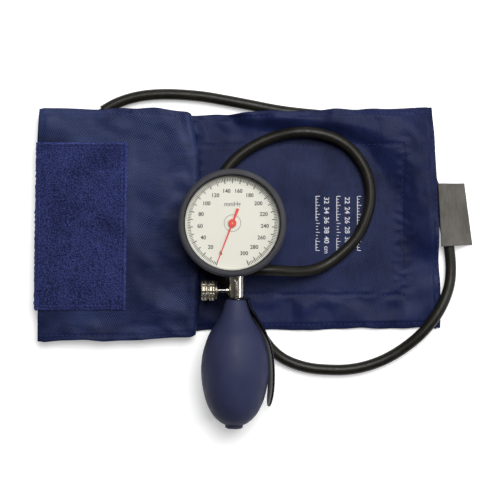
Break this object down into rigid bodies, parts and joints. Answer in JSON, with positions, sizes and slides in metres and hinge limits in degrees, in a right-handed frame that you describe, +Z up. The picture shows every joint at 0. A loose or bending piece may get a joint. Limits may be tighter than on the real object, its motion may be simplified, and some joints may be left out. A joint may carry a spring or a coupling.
{
  "type": "aneroid sphygmomanometer",
  "caption": "Palm-type aneroid blood pressure gauge with release valve, rubber bulb, finger spoon, rubber hose and a cloth cuff folded flat under it.",
  "frame": {"origin": "on the table, straight under the pointer's axis", "axes": "+Z up, out of the dial's face. +X along the cuff, towards the end with the tag. The bulb points along -Y."},
  "size_m": [0.2742, 0.2098, 0.0418],
  "materials": {
    "case": "satin black",
    "guard_rubber": "matt dark grey rubber",
    "bezel_black": "matt black",
    "lens_clear": "clear",
    "seal_rubber": "matt black",
    "white_plastic": "smooth white",
    "dial_white": "white enamel with plain black scale",
    "pointer_red": "bright red",
    "steel": "fine turned",
    "brass": "satin",
    "capsule_bronze": "satin bronze",
    "nickel": "nickel plated",
    "spoon_black": "gloss black",
    "cap_dark": "matt slate blue moulded cap",
    "bulb_rubber": "matt slate blue rubber",
    "hose_rubber": "matt brown black rubber",
    "bladder_rubber": "matt black",
    "cuff_cloth": "woven navy nylon",
    "cuff_back_cloth": "woven navy nylon",
    "patch_cloth": "royal blue hook tape",
    "tag_cloth": "grey woven tape"
  },
  "bodies": {
    "gauge_grip_cuff": {"gauge_case": "case", "guard_ring": "guard_rubber", "bezel_ring": "bezel_black", "lens": "lens_clear", "lens_gasket": "seal_rubber", "dial_spacer": "white_plastic", "dial": "dial_white", "hairspring": "steel", "hairspring_stud": "brass", "bottom_plate": "brass", "top_plate": "brass", "movement_pillars": "brass", "movement_posts": "brass", "movement_screws": "steel", "rocker_brackets": "brass", "capsule": "capsule_bronze", "capsule_stud": "brass", "pressure_base": "brass", "base_screws": "steel", "gauge_stem": "nickel", "stem_gasket": "seal_rubber", "valve_block": "nickel", "hose_barb": "nickel", "valve_gland": "nickel", "gland_ring": "seal_rubber", "bulb_nipple": "nickel", "outlet_seat": "brass", "spoon_washer": "nickel", "bulb": "bulb_rubber", "end_valve_body": "cap_dark", "end_valve_screen": "steel", "hose": "hose_rubber", "bladder": "bladder_rubber", "bladder_port": "bladder_rubber", "cuff_face": "cuff_cloth", "cuff_back": "cuff_back_cloth", "hook_patch": "patch_cloth", "label_tag": "tag_cloth"},
    "pointer_set": {"pointer": "pointer_red", "pointer_arbor": "brass"},
    "sector_set": {"sector_gear": "brass", "sector_arbor": "steel"},
    "rocker": {"rocking_shaft": "steel"},
    "pusher": {"capsule_pusher": "steel"},
    "pad": {"valve_pad": "seal_rubber"},
    "valve_screw": {"valve_spindle": "nickel", "valve_knob": "nickel"},
    "spoon_lever": {"spoon": "spoon_black"},
    "outlet_valve_ball": {"outlet_ball": "steel"},
    "intake_valve_ball": {"end_valve_ball": "steel"}
  },
  "joints": [
    {"name": "pointer_turn", "type": "hinge", "parent": "gauge_grip_cuff", "child": "pointer_set", "pos_m": [0, 0, 0.03], "axis": [0, 0, -1], "range_deg": [0, 318], "stiffness_Nm_per_rad": 0.00005},
    {"name": "sector_turn", "type": "hinge", "parent": "gauge_grip_cuff", "child": "sector_set", "pos_m": [0.01097, 0.006, 0.025], "axis": [0, 0, 1], "range_deg": [0, 35.34]},
    {"name": "rocker_turn", "type": "hinge", "parent": "gauge_grip_cuff", "child": "rocker", "pos_m": [0, 0.006, 0.02215], "axis": [-1, 0, 0], "range_deg": [0, 18.42]},
    {"name": "capsule_lift", "type": "slide", "parent": "gauge_grip_cuff", "child": "pusher", "axis": [0, 0, 1], "range_m": [0, 0.0016], "deforming": ["capsule"]},
    {"name": "valve_slide", "type": "slide", "parent": "gauge_grip_cuff", "child": "pad", "axis": [-1, 0, 0], "range_m": [0, 0.0012]},
    {"name": "valve_turn", "type": "hinge", "parent": "pad", "child": "valve_screw", "pos_m": [0, -0.0409, 0.021], "axis": [-1, 0, 0], "range_deg": [0, 540]},
    {"name": "spoon_swivel", "type": "hinge", "parent": "gauge_grip_cuff", "child": "spoon_lever", "pos_m": [0.0022, -0.06, 0.021], "axis": [0, -1, 0], "range_deg": [0, 180]},
    {"name": "outlet_ball_slide", "type": "slide", "parent": "gauge_grip_cuff", "child": "outlet_valve_ball", "axis": [0, 1, 0], "range_m": [0, 0.001]},
    {"name": "intake_ball_slide", "type": "slide", "parent": "gauge_grip_cuff", "child": "intake_valve_ball", "axis": [0.0175, 0.9998, 0], "range_m": [0, 0.001]}
  ],
  "couplings": [
    {"joint": "sector_turn", "follows": "pointer_turn", "ratio": 0.11111},
    {"joint": "rocker_turn", "follows": "pointer_turn", "ratio": 0.057905},
    {"joint": "capsule_lift", "follows": "pointer_turn", "m_per_rad": 0.00028828},
    {"joint": "valve_slide", "follows": "valve_turn", "m_per_rad": 0.00012732}
  ]
}
